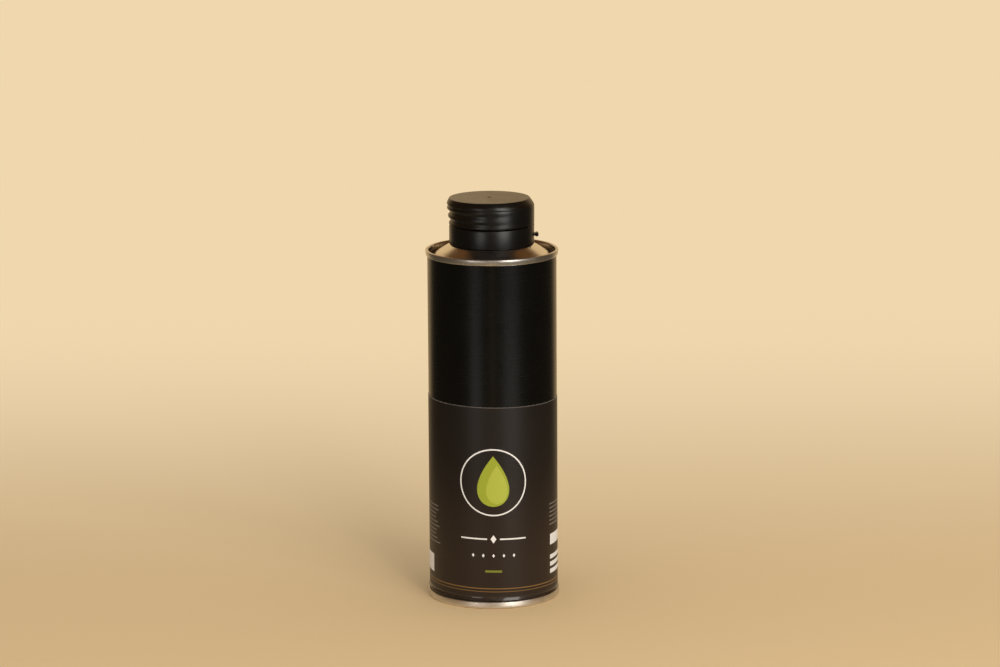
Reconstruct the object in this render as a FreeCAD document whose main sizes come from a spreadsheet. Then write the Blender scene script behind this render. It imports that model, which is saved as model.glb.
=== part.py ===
import FreeCAD, Part
import math
import os
import re
import Sketcher

# Olive oil tin, 250 ml: a lacquered tinplate can with double-seamed ends, a shouldered top with a curled
# neck, a wrap-round label and a black flip-top pouring closure. Millimetres, +Z up, the origin under the
# middle of the foot. -Y is the front of the label and +X is the hinge side of the lid.

SIZES = [
    # The can
    ("can_height", 143.75, "foot to the top of the upper seam"),
    ("body_radius", 26.15, "outside of the body wall"),
    ("plate", 0.2, "tinplate thickness"),
    ("seam_gap", 0.04, "room between the layers of a double seam"),
    ("top_seam_height", 2.45, "height of the upper double seam"),
    ("foot_seam_height", 2.9, "height of the lower double seam"),
    ("seam_round", 0.4, "outer rounding of a seam's top edge"),
    ("body_hook_room", 0.6, "end of the body's hook above a seam's free edge"),
    ("cover_hook_drop", 1.2, "end of the cover's hook below a seam's closed edge"),
    ("compound_room", 0.3, "height left for sealing compound under the seam's top"),
    ("compound_width", 0.3, "width of the compound ring"),
    # The cone and neck
    ("sink_depth", 5.4, "depth of the countersink round the cone"),
    ("sink_bend", 1.25, "bend radius at the bottom of the countersink"),
    ("sink_leg", 0.27, "upright stretch between the countersink and the shoulder"),
    ("shoulder_bend", 4.0, "radius of the rounded shoulder between countersink and cone"),
    ("cone_angle", 30.0, "slope of the cone in degrees"),
    ("neck_bend", 0.8, "bend radius between cone and neck"),
    ("curl_radius", 0.95, "outside radius of the neck's curl"),
    ("curl_rise", 2.54, "middle of the curl above the cone's upper end"),
    ("curl_gap", 0.5, "room between the curl and the collar"),
    # The bottom end
    ("foot_sink", 4.2, "depth of the countersink in the bottom end"),
    ("foot_sink_bend", 0.5, "bend radius at the bottom of that countersink"),
    ("panel_depth", 3.0, "height of the bottom panel above the foot"),
    ("ring_radius", 17.0, "middle of the stiffening step in the bottom panel"),
    ("ring_step", 0.8, "height of the stiffening step"),
    # The label
    ("label_bottom", 4.6, "lower edge of the label above the foot"),
    ("label_top", 83.5, "upper edge of the label above the foot"),
    ("label_paper", 0.1, "thickness of the label"),
    ("label_glue", 0.05, "thickness of the glue under the label"),
    ("label_lap", 13.0, "angle over which the label's ends overlap"),
    # The closure's collar
    ("collar_radius", 17.2, "outside of the collar"),
    ("collar_wall", 2.0, "wall of the collar"),
    ("collar_rise", 0.26, "lower edge of the collar above the cone"),
    ("collar_height", 7.39, "height of the collar's outside"),
    ("collar_edge", 0.6, "rounding of the collar's shoulder"),
    ("deck_thickness", 1.5, "thickness of the collar's deck"),
    ("deck_bore", 11.0, "radius of the hole in the deck"),
    ("bead_depth", 1.0, "reach of the snap bead under the curl"),
    ("bead_height", 1.1, "height of the snap bead"),
    ("bead_gap", 0.15, "room between the snap bead and the curl"),
    # The pouring insert and its gasket
    ("gasket_thickness", 0.5, "thickness of the gasket on the curl"),
    ("gasket_inset", 0.2, "how far the gasket stays inside the flange"),
    ("flange_gap", 0.2, "room between the insert's flange and the collar"),
    ("flange_thickness", 0.7, "thickness of the insert's flange"),
    ("skirt_gap", 0.15, "room between the insert's skirt and the neck"),
    ("skirt_wall", 0.9, "wall of the insert's skirt"),
    ("skirt_length", 4.6, "length of the insert's skirt below its flange"),
    ("well_depth", 2.2, "depth of the drip well below the flange's top"),
    ("well_floor", 0.9, "thickness of the drip well's floor"),
    ("spout_bore", 4.6, "radius of the pouring bore"),
    ("spout_wall", 1.1, "wall of the pouring spout"),
    ("lip_flare", 2.0, "radius of the spout's flared lip"),
    ("drain_radius", 1.2, "radius of the drain and air hole in the well"),
    # The lid
    ("parting_gap", 0.25, "gap between collar and lid"),
    ("lid_height", 11.1, "height of the lid"),
    ("thumb_flare", 0.92, "how far the lid leans out on the thumb side"),
    ("hinge_flare", 0.1, "how far the lid leans out on the hinge side"),
    ("thumb_chamfer", 0.99, "width of the lid's chamfer on the thumb side"),
    ("hinge_chamfer", 1.85, "width of the lid's chamfer on the hinge side"),
    ("chamfer_height", 2.55, "height of the lid's chamfer"),
    ("lid_wall", 1.65, "wall of the lid"),
    ("lid_roof", 1.5, "thickness of the lid's top"),
    ("boss_radius", 8.0, "radius of the boss that carries the seal"),
    ("boss_height", 0.95, "height of the boss below the lid's roof"),
    ("grip_depth", 1.1, "depth of a grip groove on the thumb side"),
    ("grip_fade", 0.15, "room between a grip groove and the lid on the hinge side"),
    ("grip_width", 2.0, "height of a grip groove's flanks at its mouth"),
    ("grip_floor", 0.4, "height of a grip groove at its floor"),
    ("grip_first", 2.3, "middle of the lowest grip groove above the lid's edge"),
    ("grip_pitch", 3.25, "distance between grip grooves"),
    ("brow_groove_rise", 8.05, "middle of the shallow groove under the lid's brow, above the lid's edge"),
    ("brow_groove_depth", 0.6, "depth of the shallow groove on the thumb side"),
    ("brow_groove_width", 0.9, "height of the shallow groove's flanks at its mouth"),
    ("seal_thickness", 1.4, "thickness of the seal pad"),
    ("seal_edge", 0.1, "how far the seal pad stays inside its boss"),
    ("seal_gap", 0.15, "room between the seal pad and the spout's lip"),
    ("plug_radius", 3.2, "radius of the low dome under the seal pad"),
    ("plug_taper", 0.8, "how much narrower the dome is at its bottom"),
    ("plug_depth", 0.8, "depth of the low dome under the seal pad"),
    # The hinge
    ("barrel_radius", 0.78, "outside of the hinge barrel"),
    ("barrel_gap", 0.2, "room between the barrel and the collar"),
    ("barrel_length", 3.4, "length of the hinge barrel"),
    ("hinge_rise", 3.6, "hinge line above the collar's lower edge"),
    ("pin_radius", 0.34, "radius of the hinge pin"),
    ("pin_gap", 0.04, "running fit on the pin"),
    ("tongue_width", 1.5, "width of the lid's hinge tongue"),
    ("tongue_gap", 0.2, "room round the hinge tongue"),
    ("recess_depth", 1.05, "depth of the collar's recess for the tongue"),
    ("recess_drop", 1.35, "bottom of the recess below the hinge line"),
    ("web_height", 0.8, "height of the arm between tongue or collar and barrel"),
    # Shared by all cuts
    ("overrun", 1.0, "how far a cut runs past what it cuts"),
]

# Sizes that follow from those above, each written once.
DERIVED = {
    # Radii of the double seam's layers, from the inside outwards
    "body_bore": "body_radius - plate",
    "chuck_outside": "body_bore - seam_gap",
    "chuck_inside": "chuck_outside - plate",
    "cover_inside": "body_radius + seam_gap",
    "cover_outside": "cover_inside + plate",
    "hook_inside": "cover_outside + seam_gap",
    "hook_outside": "hook_inside + plate",
    "skin_inside": "hook_outside + seam_gap",
    "seam_radius": "skin_inside + plate",
    # The body's bend in the seam, and the end's bend under it, as depths from the seam's outer face
    "body_bend": "(hook_outside - body_bore) / 2",
    "body_bend_radius": "(hook_outside + body_bore) / 2",
    "body_top": "plate + compound_room",
    "body_bend_depth": "body_top + body_bend",
    "cover_bend": "(seam_radius - cover_inside) / 2",
    "cover_bend_radius": "(seam_radius + cover_inside) / 2",
    "compound_middle": "(chuck_inside + seam_radius) / 2",
    # The cone, its countersink and its neck
    "sink_middle": "chuck_inside - sink_bend",
    "sink_level": "sink_depth - sink_bend",
    "shoulder_leg": "sink_middle - sink_bend",
    "shoulder_middle": "shoulder_leg - shoulder_bend",
    "shoulder_level": "can_height - sink_level + sink_leg",
    "cone_foot": "shoulder_middle + shoulder_bend * sin(cone_angle)",
    "cone_foot_level": "shoulder_level + shoulder_bend * cos(cone_angle)",
    "neck_radius": "collar_bore - curl_gap - 2 * curl_radius + plate",
    "neck_root": "cone_foot_level + (cone_foot - neck_radius) * tan(cone_angle)",
    "neck_tangent": "neck_bend * tan((90 - cone_angle) / 2)",
    "neck_level": "neck_root + neck_tangent",
    "neck_middle": "neck_radius + neck_bend",
    "neck_bore": "neck_radius - plate",
    "curl_middle": "neck_bore + curl_radius",
    "curl_level": "neck_root + curl_rise",
    "curl_top": "curl_level + curl_radius",
    # The bottom end
    "foot_sink_middle": "chuck_inside - foot_sink_bend",
    "foot_sink_level": "foot_sink - foot_sink_bend",
    "foot_leg": "foot_sink_middle - foot_sink_bend",
    "ring_outside": "ring_radius + ring_step / 2",
    "ring_inside": "ring_radius - ring_step / 2",
    # The label
    "label_inside": "body_radius + label_glue",
    "label_outside": "label_inside + label_paper",
    # The closure, from the neck up
    "collar_foot_level": "cone_foot_level + (cone_foot - collar_radius) * tan(cone_angle)",
    "collar_bottom": "collar_foot_level + collar_rise",
    "collar_top": "collar_bottom + collar_height",
    "collar_bore": "collar_radius - collar_wall",
    "flange_radius": "collar_bore - flange_gap",
    "gasket_radius": "flange_radius - gasket_inset",
    "flange_bottom": "curl_top + gasket_thickness",
    "flange_top": "flange_bottom + flange_thickness",
    "deck_top": "flange_top + deck_thickness",
    "bead_top": "curl_level - curl_radius - bead_gap",
    "bead_inside": "collar_bore - bead_depth",
    "skirt_radius": "neck_bore - skirt_gap",
    "skirt_bore": "skirt_radius - skirt_wall",
    "well_top": "flange_top - well_depth",
    "well_bottom": "well_top - well_floor",
    "spout_outside": "spout_bore + spout_wall",
    "lip_radius": "spout_bore + lip_flare",
    "lip_level": "seal_bottom - seal_gap",
    "lip_root": "lip_level - lip_flare",
    # The lid
    "lid_bottom": "collar_top + parting_gap",
    "lid_top": "lid_bottom + lid_height",
    "lid_brow": "lid_top - chamfer_height",
    "brow_radius": "collar_radius + (thumb_flare + hinge_flare) / 2",
    "brow_shift": "(hinge_flare - thumb_flare) / 2",
    "crown_radius": "brow_radius - (thumb_chamfer + hinge_chamfer) / 2",
    "crown_shift": "brow_shift + (thumb_chamfer - hinge_chamfer) / 2",
    "lid_bore": "collar_radius - lid_wall",
    "lid_ceiling": "lid_top - lid_roof",
    "boss_level": "lid_ceiling - boss_height",
    "seal_radius": "boss_radius - seal_edge",
    "seal_bottom": "boss_level - seal_thickness",
    "groove_limit": "collar_radius + hinge_flare + grip_fade",
    "groove_reach": "groove_limit + thumb_flare + overrun",
    # The hinge
    "hinge_x": "collar_radius + barrel_gap + barrel_radius",
    "hinge_level": "collar_bottom + hinge_rise",
    "recess_floor": "collar_radius - recess_depth",
    "tongue_inside": "recess_floor + tongue_gap",
    "recess_width": "tongue_width + 2 * tongue_gap",
    "pin_bore": "pin_radius + pin_gap",
}

GRIP_COUNT = 2

doc = FreeCAD.newDocument("olive_oil_tin")
sheet = doc.addObject("Spreadsheet::Sheet", "Sizes")
for row, (alias, size, note) in enumerate(SIZES, start=1):
    sheet.set("A%d" % row, alias)
    sheet.set("B%d" % row, str(size))
    sheet.set("C%d" % row, note)
    sheet.setAlias("B%d" % row, alias)
doc.recompute()

ALIASES = {alias for alias, size, note in SIZES}


def bind(text):
    """Turn an expression in size names into one on the sheet's cells."""
    def cell(match):
        name = match.group(0)
        if name in DERIVED:
            return "(" + bind(DERIVED[name]) + ")"
        return "Sizes." + name if name in ALIASES else name
    return re.sub(r"[a-z_]+", cell, text)


def measure(text):
    """Work out an expression in size names."""
    return FreeCAD.Units.Quantity(sheet.evalExpression(bind(text))).Value


def new_body(label):
    """Start a sub-part under the name that its file gets."""
    body = doc.addObject("PartDesign::Body", label)
    body.Label = label
    return body


def new_sketch(body, name, plane):
    """Start a sketch on one of the body's own origin planes."""
    sketch = body.newObject("Sketcher::SketchObject", name)
    support = [item for item in body.Origin.OriginFeatures if item.Role == plane][0]
    sketch.AttachmentSupport = [(support, "")]
    sketch.MapMode = "FlatFace"
    return sketch


def fix(sketch, kind, place, expression):
    """Hold a point of a sketch at an expression, measured from the sketch's origin."""
    geometry, point = place
    if expression == "0":
        axis = -2 if kind == "DistanceX" else -1
        sketch.addConstraint(Sketcher.Constraint("PointOnObject", geometry, point, axis))
        return
    constraint = Sketcher.Constraint(kind, -1, 1, geometry, point, measure(expression))
    index = sketch.addConstraint(constraint)
    sketch.setExpression("Constraints[%d]" % index, bind(expression))


def outline(sketch, corners):
    """Draw a closed outline through corners given as expressions.

    A corner is (across, up) after a straight edge, or (across, up, (middle across, middle up), turn) after an
    arc, where turn says whether the outline bends left or right along it.
    """
    start_of, end_of, centre_of = 1, 2, 3
    points = [(measure(corner[0]), measure(corner[1])) for corner in corners]
    ends = []
    for index, corner in enumerate(corners):
        first = FreeCAD.Vector(*points[index - 1], 0)
        last = FreeCAD.Vector(*points[index], 0)
        if len(corner) == 2:
            geometry = sketch.addGeometry(Part.LineSegment(first, last))
            ends.append(((geometry, start_of), (geometry, end_of)))
            continue
        middle_names, turn = corner[2:]
        middle = FreeCAD.Vector(measure(middle_names[0]), measure(middle_names[1]), 0)
        circle = Part.Circle(middle, FreeCAD.Vector(0, 0, 1), (first - middle).Length)
        angles = [math.atan2(*reversed((point - middle)[:2])) for point in (first, last)]
        order = (start_of, end_of)
        if turn == "right":
            angles.reverse()
            order = (end_of, start_of)
        geometry = sketch.addGeometry(Part.ArcOfCircle(circle, *angles))
        ends.append(((geometry, order[0]), (geometry, order[1])))
        chord = last - first
        if abs(chord.x) > abs(chord.y):
            fix(sketch, "DistanceY", (geometry, centre_of), middle_names[1])
        else:
            fix(sketch, "DistanceX", (geometry, centre_of), middle_names[0])
    for index, corner in enumerate(corners):
        place = ends[index][1]
        following = ends[(index + 1) % len(corners)][0]
        sketch.addConstraint(Sketcher.Constraint("Coincident", *place, *following))
        fix(sketch, "DistanceX", place, corner[0])
        fix(sketch, "DistanceY", place, corner[1])


def turned(body, name, corners, cut=False, plane="XZ_Plane", shift="0", angle=None):
    """Turn an outline round an upright axis, which stands shift along X from the part's own.

    With an angle, the outline turns that far, half of it to each side of its plane.
    """
    sketch = new_sketch(body, name + "_outline", plane)
    if shift != "0":
        sketch.setExpression("AttachmentOffset.Base.x", bind(shift))
    outline(sketch, corners)
    feature = body.newObject("PartDesign::Groove" if cut else "PartDesign::Revolution", name)
    feature.Profile = sketch
    feature.ReferenceAxis = (sketch, ["V_Axis"])
    if angle:
        feature.Midplane = True
        feature.setExpression("Angle", bind(angle))
    doc.recompute()
    return feature


def across(body, name, width, corners=None, circle=None, cut=False):
    """Extrude an outline, or a (radius, across, up) circle, along Y to both sides of the middle."""
    sketch = new_sketch(body, name + "_outline", "XZ_Plane")
    if corners:
        outline(sketch, corners)
    if circle:
        radius, along, up = circle
        middle = FreeCAD.Vector(measure(along), measure(up), 0)
        geometry = sketch.addGeometry(Part.Circle(middle, FreeCAD.Vector(0, 0, 1), measure(radius)))
        fix(sketch, "DistanceX", (geometry, 3), along)
        fix(sketch, "DistanceY", (geometry, 3), up)
        index = sketch.addConstraint(Sketcher.Constraint("Radius", geometry, measure(radius)))
        sketch.setExpression("Constraints[%d]" % index, bind(radius))
    feature = body.newObject("PartDesign::Pocket" if cut else "PartDesign::Pad", name)
    feature.Profile = sketch
    feature.SideType = "Symmetric"
    feature.setExpression("Length", bind(width))
    doc.recompute()
    return feature


def ring_sketch(body, name, radius, shift, level):
    """A circle on a level plane, its middle moved along X."""
    sketch = new_sketch(body, name, "XY_Plane")
    sketch.setExpression("AttachmentOffset.Base.z", bind(level))
    sketch.setExpression("AttachmentOffset.Base.x", bind(shift))
    circle = Part.Circle(FreeCAD.Vector(0, 0, 0), FreeCAD.Vector(0, 0, 1), measure(radius))
    geometry = sketch.addGeometry(circle)
    sketch.addConstraint(Sketcher.Constraint("Coincident", geometry, 3, -1, 1))
    index = sketch.addConstraint(Sketcher.Constraint("Radius", geometry, measure(radius)))
    sketch.setExpression("Constraints[%d]" % index, bind(radius))
    return sketch


def must_shrink(feature, before):
    """Stop if a cut has taken nothing away."""
    if feature.Shape.Volume >= before:
        raise RuntimeError(feature.Label + " cuts nothing")


def stand(corners, upper):
    """Place corners given by their depth into a seam at the top or at the foot of the can."""
    mirrored = {"left": "right", "right": "left"}
    placed = []
    for corner in corners:
        if upper:
            levels = ["can_height - (%s)" % corner[1]]
            levels += ["can_height - (%s)" % corner[2][1]] if len(corner) > 2 else []
        else:
            levels = [corner[1]]
            levels += [corner[2][1]] if len(corner) > 2 else []
        if len(corner) > 2:
            turn = corner[3] if upper else mirrored[corner[3]]
            placed.append((corner[0], levels[0], (corner[2][0], levels[1]), turn))
        else:
            placed.append((corner[0], levels[0]))
    return placed


def cover_corners(seam_height):
    """The end's side of a double seam, from the outside of the chuck wall round to its inside."""
    inner_round = "seam_round - plate"
    inner_left = "chuck_outside + " + inner_round
    inner_right = "skin_inside - (%s)" % inner_round
    bend_depth = seam_height + " - cover_bend"
    hook_middle = ("cover_bend_radius", bend_depth)
    return [
        ("chuck_outside", "seam_round"),
        (inner_left, "plate", (inner_left, "seam_round"), "right"),
        (inner_right, "plate"),
        ("skin_inside", "seam_round", (inner_right, "seam_round"), "right"),
        ("skin_inside", bend_depth),
        ("cover_outside", bend_depth, hook_middle, "right"),
        ("cover_outside", "cover_hook_drop"),
        ("cover_inside", "cover_hook_drop"),
        ("cover_inside", bend_depth),
        ("seam_radius", bend_depth, hook_middle, "left"),
        ("seam_radius", "seam_round"),
        ("seam_radius - seam_round", "0 * plate", ("seam_radius - seam_round", "seam_round"), "left"),
        ("chuck_inside + seam_round", "0 * plate"),
        ("chuck_inside", "seam_round", ("chuck_inside + seam_round", "seam_round"), "left"),
    ]


def make_can_body():
    """Body wall with a hook at each end."""
    bend = ("body_bend_radius", "body_bend_depth")
    upper = [
        ("body_bore", "body_bend_depth"),
        ("hook_outside", "body_bend_depth", bend, "right"),
        ("hook_outside", "top_seam_height - body_hook_room"),
        ("hook_inside", "top_seam_height - body_hook_room"),
        ("hook_inside", "body_bend_depth"),
        ("body_radius", "body_bend_depth", bend, "left"),
    ]
    lower = [
        ("body_radius", "body_bend_depth"),
        ("hook_inside", "body_bend_depth", bend, "right"),
        ("hook_inside", "foot_seam_height - body_hook_room"),
        ("hook_outside", "foot_seam_height - body_hook_room"),
        ("hook_outside", "body_bend_depth"),
        ("body_bore", "body_bend_depth", bend, "left"),
    ]
    body = new_body("can_body")
    turned(body, "body_wall", stand(upper, True) + stand(lower, False))


def make_top_cone():
    """Upper end: double seam, countersink, rounded shoulder, cone, neck and curl in one sheet."""
    def off_cone(middle, level, reach):
        along = "%s - (%s) * sin(cone_angle)" % (middle, reach)
        up = "%s - (%s) * cos(cone_angle)" % (level, reach)
        return along, up
    sink_level = "can_height - sink_level"
    sink = ("sink_middle", sink_level)
    shoulder = ("shoulder_middle", "shoulder_level")
    neck = ("neck_middle", "neck_level")
    curl = ("curl_middle", "curl_level")
    corners = [
        ("curl_middle", "curl_level - curl_radius"),
        ("neck_bore", "curl_level", curl, "left"),
        ("neck_bore", "neck_level"),
        (*off_cone(*neck, "neck_bend + plate"), neck, "left"),
        off_cone(*shoulder, "plate - shoulder_bend"),
        ("shoulder_leg - plate", "shoulder_level", shoulder, "right"),
        ("shoulder_leg - plate", sink_level),
        ("chuck_outside", sink_level, sink, "left"),
        *stand(cover_corners("top_seam_height"), True),
        ("chuck_inside", sink_level),
        ("shoulder_leg", sink_level, sink, "right"),
        ("shoulder_leg", "shoulder_level"),
        ("cone_foot", "cone_foot_level", shoulder, "left"),
        off_cone(*neck, "neck_bend"),
        ("neck_radius", "neck_level", neck, "right"),
        ("neck_radius", "curl_level"),
        ("curl_middle", "curl_level - curl_radius + plate", curl, "right"),
    ]
    turned(new_body("top_cone"), "cone_sheet", corners)


def make_bottom_end():
    """Lower end: double seam, countersink and a flat panel with one stiffening step."""
    sink = ("foot_sink_middle", "foot_sink_level")
    corners = [
        *stand(cover_corners("foot_seam_height"), False),
        ("chuck_inside", "foot_sink_level"),
        ("foot_leg", "foot_sink_level", sink, "left"),
        ("foot_leg", "panel_depth"),
        ("ring_outside", "panel_depth"),
        ("ring_inside", "panel_depth + ring_step"),
        ("0", "panel_depth + ring_step"),
        ("0", "panel_depth + ring_step + plate"),
        ("ring_inside", "panel_depth + ring_step + plate"),
        ("ring_outside", "panel_depth + plate"),
        ("foot_leg - plate", "panel_depth + plate"),
        ("foot_leg - plate", "foot_sink_level"),
        ("chuck_outside", "foot_sink_level", sink, "right"),
    ]
    turned(new_body("bottom_end"), "end_sheet", corners)


def make_seam_compound(label, upper):
    """Ring of sealing compound between the body's bend and the seam's top."""
    left = "compound_middle - compound_width / 2"
    right = "compound_middle + compound_width / 2"
    near = "plate + seam_gap"
    far = "body_top - seam_gap"
    corners = [(left, near), (right, near), (right, far), (left, far)]
    turned(new_body(label), label + "_ring", stand(corners, upper))


def make_wrap_label():
    """Label sheet round the body, with its lapped ends at the back."""
    def layer(inside, outside):
        return [
            (inside, "label_bottom"),
            (outside, "label_bottom"),
            (outside, "label_top"),
            (inside, "label_top"),
        ]
    body = new_body("wrap_label")
    turned(body, "label_sheet", layer("label_inside", "label_outside"))
    lap = layer("label_inside + label_paper / 2", "label_outside + label_paper")
    turned(body, "label_overlap", lap, plane="YZ_Plane", angle="label_lap")


def make_closure_collar():
    """Collar snapped over the curl, with its deck, hinge lugs and the recess for the lid's tongue."""
    shoulder = ("collar_radius - collar_edge", "collar_top - collar_edge")
    corners = [
        ("collar_radius", "collar_bottom"),
        ("collar_radius", "collar_top - collar_edge"),
        ("collar_radius - collar_edge", "collar_top", shoulder, "left"),
        ("collar_bore", "collar_top"),
        ("collar_bore", "deck_top"),
        ("deck_bore", "deck_top"),
        ("deck_bore", "flange_top"),
        ("collar_bore", "flange_top"),
        ("collar_bore", "bead_top"),
        ("bead_inside", "bead_top"),
        ("bead_inside", "bead_top - bead_height / 2"),
        ("collar_bore", "bead_top - bead_height"),
        ("collar_bore", "collar_bottom + collar_wall * tan(cone_angle)"),
    ]
    body = new_body("closure_collar")
    turned(body, "collar_wall_and_deck", corners)
    arm = [
        ("recess_floor", "hinge_level - web_height / 2"),
        ("hinge_x", "hinge_level - web_height / 2"),
        ("hinge_x", "hinge_level + web_height / 2"),
        ("recess_floor", "hinge_level + web_height / 2"),
    ]
    across(body, "lug_arm", "barrel_length", corners=arm)
    barrel = across(body, "lug_barrel", "barrel_length", circle=("barrel_radius", "hinge_x", "hinge_level"))
    before = barrel.Shape.Volume
    recess = [
        ("recess_floor", "hinge_level - recess_drop"),
        ("hinge_x + barrel_radius + overrun", "hinge_level - recess_drop"),
        ("hinge_x + barrel_radius + overrun", "collar_top + overrun"),
        ("recess_floor", "collar_top + overrun"),
    ]
    slot = across(body, "tongue_recess", "recess_width", corners=recess, cut=True)
    must_shrink(slot, before)
    before = slot.Shape.Volume
    bore_width = "barrel_length + 2 * overrun"
    bore = across(body, "pin_hole", bore_width, circle=("pin_bore", "hinge_x", "hinge_level"), cut=True)
    must_shrink(bore, before)


def make_neck_gasket():
    """Flat gasket between the curl and the insert's flange."""
    inside = "skirt_radius + skirt_gap"
    corners = [
        (inside, "curl_top"),
        ("gasket_radius", "curl_top"),
        ("gasket_radius", "flange_bottom"),
        (inside, "flange_bottom"),
    ]
    turned(new_body("neck_gasket"), "gasket_ring", corners)


def make_pour_spout():
    """Pouring insert: flange, skirt in the neck, drip well and the flared spout."""
    lip = ("lip_radius", "lip_root")
    skirt_bottom = "flange_bottom - skirt_length"
    corners = [
        ("spout_bore", "well_bottom"),
        ("spout_bore", "lip_root"),
        ("lip_radius", "lip_level", lip, "right"),
        ("lip_radius", "lip_level - spout_wall"),
        ("spout_outside", "lip_root", lip, "left"),
        ("spout_outside", "well_top"),
        ("skirt_bore", "well_top"),
        ("skirt_bore", "flange_top"),
        ("flange_radius", "flange_top"),
        ("flange_radius", "flange_bottom"),
        ("skirt_radius", "flange_bottom"),
        ("skirt_radius", skirt_bottom),
        ("skirt_bore", skirt_bottom),
        ("skirt_bore", "well_bottom"),
    ]
    body = new_body("pour_spout")
    insert = turned(body, "insert", corners)
    before = insert.Shape.Volume
    drain = ring_sketch(body, "drain_outline", "drain_radius", "(spout_outside + skirt_bore) / 2", "well_top")
    hole = body.newObject("PartDesign::Pocket", "drain_hole")
    hole.Profile = drain
    hole.setExpression("Length", bind("well_floor + overrun"))
    doc.recompute()
    must_shrink(hole, before)


def cut_groove(body, name, rise, depth, width):
    """Cut a grip groove round the lid, off centre so that it fades out towards the hinge."""
    thumb_outside = "(collar_radius + thumb_flare * (%s) / (lid_height - chamfer_height))" % rise
    thumb_floor = "(%s - %s)" % (thumb_outside, depth)
    floor = "(groove_limit + %s) / 2" % thumb_floor
    level = "lid_bottom + " + rise
    flank = "(%s / 2) * (groove_reach - %s) / %s" % (width, floor, depth)
    groove = [
        (floor, level + " - grip_floor / 2"),
        ("groove_reach", level + " - grip_floor / 2 - " + flank),
        ("groove_reach", level + " + grip_floor / 2 + " + flank),
        (floor, level + " + grip_floor / 2"),
    ]
    before = body.Shape.Volume
    feature = turned(body, name, groove, cut=True, shift="(groove_limit - %s) / 2" % thumb_floor)
    must_shrink(feature, before)


def make_flip_lid():
    """Lid: flared wall, chamfered crown, grip grooves that fade towards the hinge, and the hinge tongue."""
    body = new_body("flip_lid")
    rim = ring_sketch(body, "rim", "collar_radius", "0 * plate", "lid_bottom")
    brow = ring_sketch(body, "brow", "brow_radius", "brow_shift", "lid_brow")
    crown = ring_sketch(body, "crown", "crown_radius", "crown_shift", "lid_top")
    wall = body.newObject("PartDesign::AdditiveLoft", "lid_outside")
    wall.Profile = rim
    wall.Sections = [brow, crown]
    wall.Ruled = True
    doc.recompute()
    before = wall.Shape.Volume
    cavity = [
        ("0", "lid_bottom - overrun"),
        ("lid_bore", "lid_bottom - overrun"),
        ("lid_bore", "lid_brow"),
        ("crown_radius - hinge_chamfer", "lid_ceiling"),
        ("boss_radius", "lid_ceiling"),
        ("boss_radius", "boss_level"),
        ("0", "boss_level"),
    ]
    hollow = turned(body, "lid_hollow", cavity, cut=True)
    must_shrink(hollow, before)
    for index in range(GRIP_COUNT):
        rise = "grip_first + %d * grip_pitch" % index
        cut_groove(body, "grip_%d" % (index + 1), rise, "grip_depth", "grip_width")
    cut_groove(body, "brow_groove", "brow_groove_rise", "brow_groove_depth", "brow_groove_width")
    tongue = [
        ("tongue_inside", "hinge_level - web_height / 2"),
        ("hinge_x", "hinge_level - web_height / 2"),
        ("hinge_x", "hinge_level + web_height / 2"),
        ("collar_radius", "hinge_level + barrel_radius"),
        ("collar_radius", "lid_bottom + lid_wall"),
        ("tongue_inside", "lid_bottom + lid_wall"),
    ]
    across(body, "tongue", "tongue_width", corners=tongue)
    barrel = across(body, "knuckle", "tongue_width", circle=("barrel_radius", "hinge_x", "hinge_level"))
    before = barrel.Shape.Volume
    bore_width = "tongue_width + 2 * overrun"
    bore = across(body, "pin_hole_lid", bore_width, circle=("pin_bore", "hinge_x", "hinge_level"), cut=True)
    must_shrink(bore, before)


def make_lid_seal():
    """Soft pad under the lid's boss, with a low dome that dips into the spout."""
    corners = [
        ("0", "boss_level"),
        ("seal_radius", "boss_level"),
        ("seal_radius", "seal_bottom"),
        ("plug_radius", "seal_bottom"),
        ("plug_radius - plug_taper", "seal_bottom - plug_depth"),
        ("0", "seal_bottom - plug_depth"),
    ]
    turned(new_body("lid_seal"), "seal_pad", corners)


def make_hinge_pin():
    """Pin through the collar's lugs and the lid's knuckle."""
    pin = doc.addObject("Part::Cylinder", "hinge_pin")
    pin.Label = "hinge_pin"
    pin.setExpression("Radius", bind("pin_radius"))
    pin.setExpression("Height", bind("barrel_length"))
    pin.Placement.Rotation = FreeCAD.Rotation(FreeCAD.Vector(1, 0, 0), -90)
    pin.setExpression("Placement.Base.x", bind("hinge_x"))
    pin.setExpression("Placement.Base.y", bind("-barrel_length / 2"))
    pin.setExpression("Placement.Base.z", bind("hinge_level"))


def check(parts):
    """Stop if an object failed, or if a sub-part isn't one sound solid."""
    for item in doc.Objects:
        if "Invalid" in item.State or "Error" in item.State:
            raise RuntimeError(item.Label + " failed")
    for part in parts:
        shape = part.Shape
        if shape.isNull() or not shape.isValid() or len(shape.Solids) != 1:
            raise RuntimeError(part.Label + " is not one sound solid")


make_can_body()
make_bottom_end()
make_seam_compound("bottom_seam_compound", False)
make_top_cone()
make_seam_compound("top_seam_compound", True)
make_wrap_label()
make_closure_collar()
make_neck_gasket()
make_pour_spout()
make_flip_lid()
make_lid_seal()
make_hinge_pin()
doc.recompute()

PARTS = [item for item in doc.Objects if item.TypeId in ("PartDesign::Body", "Part::Cylinder")]
check(PARTS)
os.makedirs("parts", exist_ok=True)
for part in PARTS:
    part.Shape.exportStep("parts/%s.step" % part.Label)
    print("%-22s %9.2f mm3" % (part.Label, part.Shape.Volume))
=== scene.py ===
import math

import bmesh
import bpy
from mathutils import Matrix, Vector


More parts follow.
